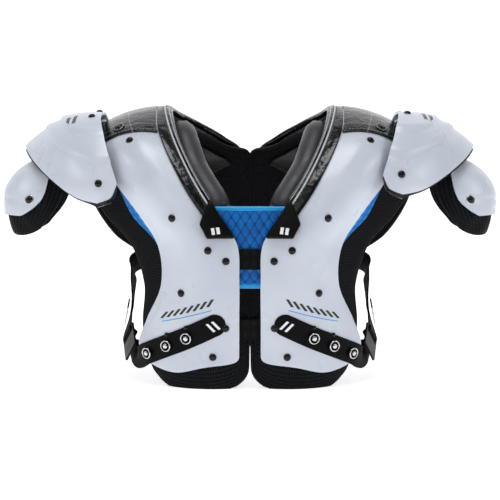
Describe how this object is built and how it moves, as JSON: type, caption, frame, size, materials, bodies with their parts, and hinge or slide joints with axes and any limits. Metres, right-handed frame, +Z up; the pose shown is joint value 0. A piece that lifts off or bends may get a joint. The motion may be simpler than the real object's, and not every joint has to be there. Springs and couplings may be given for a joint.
{
  "type": "football shoulder pad",
  "caption": "Protective shoulder pad with white plastic arches over black padded liners, domed shoulder plates with hanging upper-arm caps, vinyl collar trim, quilted blue sternum panel, belts",
  "frame": {"origin": "middle of the bounding box at the floor it stands on", "axes": "+X is the wearer's left, -Y the chest and the pictured side, +Z up"},
  "size_m": [0.613, 0.3004, 0.3308],
  "materials": {
    "white_shell": "smooth moulded polyethylene, slightly cloudy",
    "black_moulding": "moulded, satin",
    "black_rubber": "smooth, satin",
    "black_mesh": "knitted spacer mesh over foam",
    "black_vinyl": "coated vinyl, fine grain, shiny",
    "grey_vinyl": "coated vinyl, stuffed, satin",
    "blue_fabric": "woven polyester, quilted on the sternum panel",
    "black_webbing": "woven elastic and webbing",
    "steel": "nickel-plated wire and plate"
  },
  "bodies": {
    "root": {"arch_left": "white_shell", "plate_left": "white_shell", "shoulder_cap_left": "white_shell", "lining_left": "blue_fabric", "body_pad_left": "black_mesh", "cap_pad_left": "black_mesh", "wedge_left": "black_moulding", "collar_trim_left": "black_vinyl", "neck_roll_left": "grey_vinyl", "neck_flap_left": "black_vinyl", "shoulder_strap_left": "black_vinyl", "plate_liner_left": "black_vinyl", "cap_hanger_left": "black_webbing", "belt_left": "black_rubber", "buckle_left": "black_moulding", "webbing_left": "black_webbing", "slider_left": "steel", "arch_rivet_1_left": "black_moulding", "arch_rivet_2_left": "black_moulding", "arch_rivet_3_left": "black_moulding", "arch_rivet_4_left": "black_moulding", "arch_rivet_5_left": "black_moulding", "arch_rivet_6_left": "black_moulding", "plate_rivet_top_left": "black_moulding", "plate_rivet_front_left": "black_moulding", "arch_right": "white_shell", "plate_right": "white_shell", "shoulder_cap_right": "white_shell", "lining_right": "blue_fabric", "body_pad_right": "black_mesh", "cap_pad_right": "black_mesh", "wedge_right": "black_moulding", "collar_trim_right": "black_vinyl", "neck_roll_right": "grey_vinyl", "neck_flap_right": "black_vinyl", "shoulder_strap_right": "black_vinyl", "plate_liner_right": "black_vinyl", "cap_hanger_right": "black_webbing", "belt_right": "black_rubber", "buckle_right": "black_moulding", "webbing_right": "black_webbing", "slider_right": "steel", "arch_rivet_1_right": "black_moulding", "arch_rivet_2_right": "black_moulding", "arch_rivet_3_right": "black_moulding", "arch_rivet_4_right": "black_moulding", "arch_rivet_5_right": "black_moulding", "arch_rivet_6_right": "black_moulding", "plate_rivet_top_right": "black_moulding", "plate_rivet_front_right": "black_moulding", "sternum_panel": "blue_fabric", "chest_strap_upper": "black_webbing", "chest_strap_lower": "black_webbing", "back_strap_upper": "black_webbing", "back_strap_lower": "black_webbing"}
  },
  "joints": []
}
